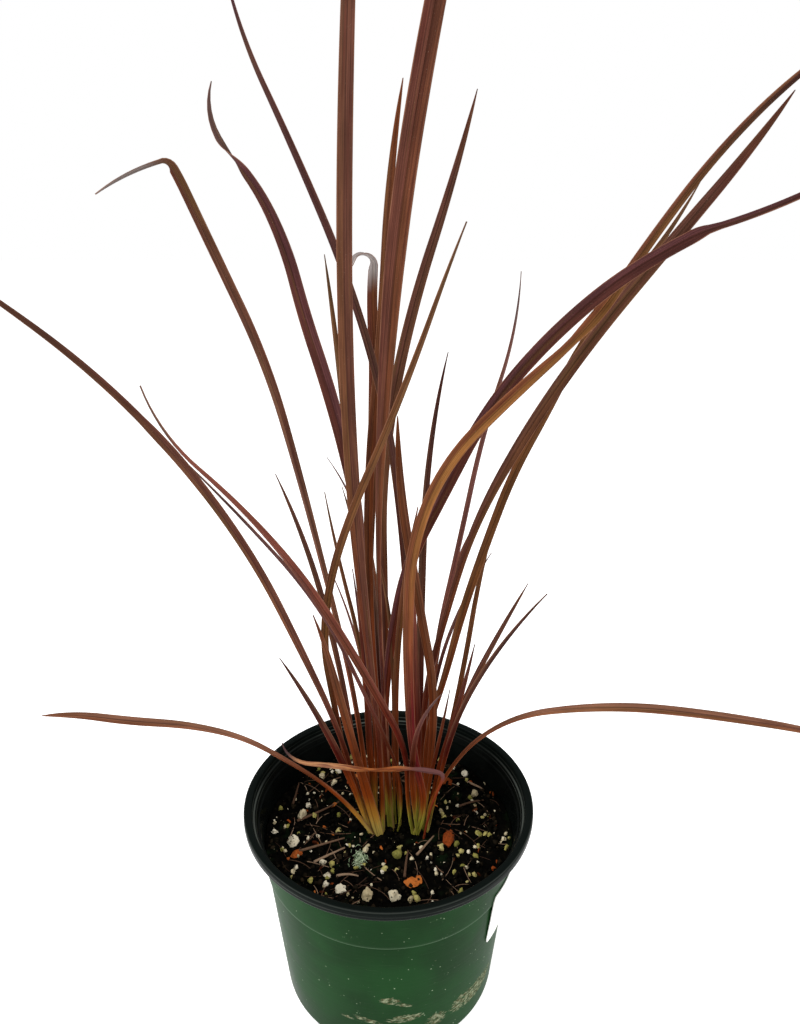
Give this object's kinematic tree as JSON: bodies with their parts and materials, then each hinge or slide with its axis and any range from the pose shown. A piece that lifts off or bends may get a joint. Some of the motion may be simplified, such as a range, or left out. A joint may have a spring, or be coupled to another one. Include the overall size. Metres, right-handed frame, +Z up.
{
  "type": "potted new zealand flax",
  "caption": "Potted New Zealand flax: narrow arching maroon and purple-brown strap leaves in small fans, standing in dark potting mix in a green round nursery pot.",
  "frame": {"origin": "middle of the pot's flat underside", "axes": "+Z up, -Y towards whoever looks at the front of the plant, +X to the right as seen from there"},
  "size_m": [0.4358, 0.2674, 0.6179],
  "materials": {
    "pot_plastic": "satin, moulded",
    "label_paper": "plain, blank",
    "mix": "loose, damp, with pale grains",
    "maroon_leaf": "satin, finely ribbed",
    "purple_leaf": "satin, finely ribbed",
    "olive_leaf": "satin, finely ribbed",
    "red_leaf": "satin, finely ribbed",
    "dry_leaf": "dry, striated"
  },
  "bodies": {
    "root": {"pot": "pot_plastic", "blank_label": "label_paper", "potting_mix": "mix", "shoot_front_left": "maroon_leaf", "shoot_left": "purple_leaf", "shoot_centre": "maroon_leaf", "shoot_back": "purple_leaf", "shoot_front": "red_leaf", "shoot_back_right": "olive_leaf", "shoot_right": "purple_leaf", "withered_leaf": "dry_leaf"}
  },
  "joints": []
}
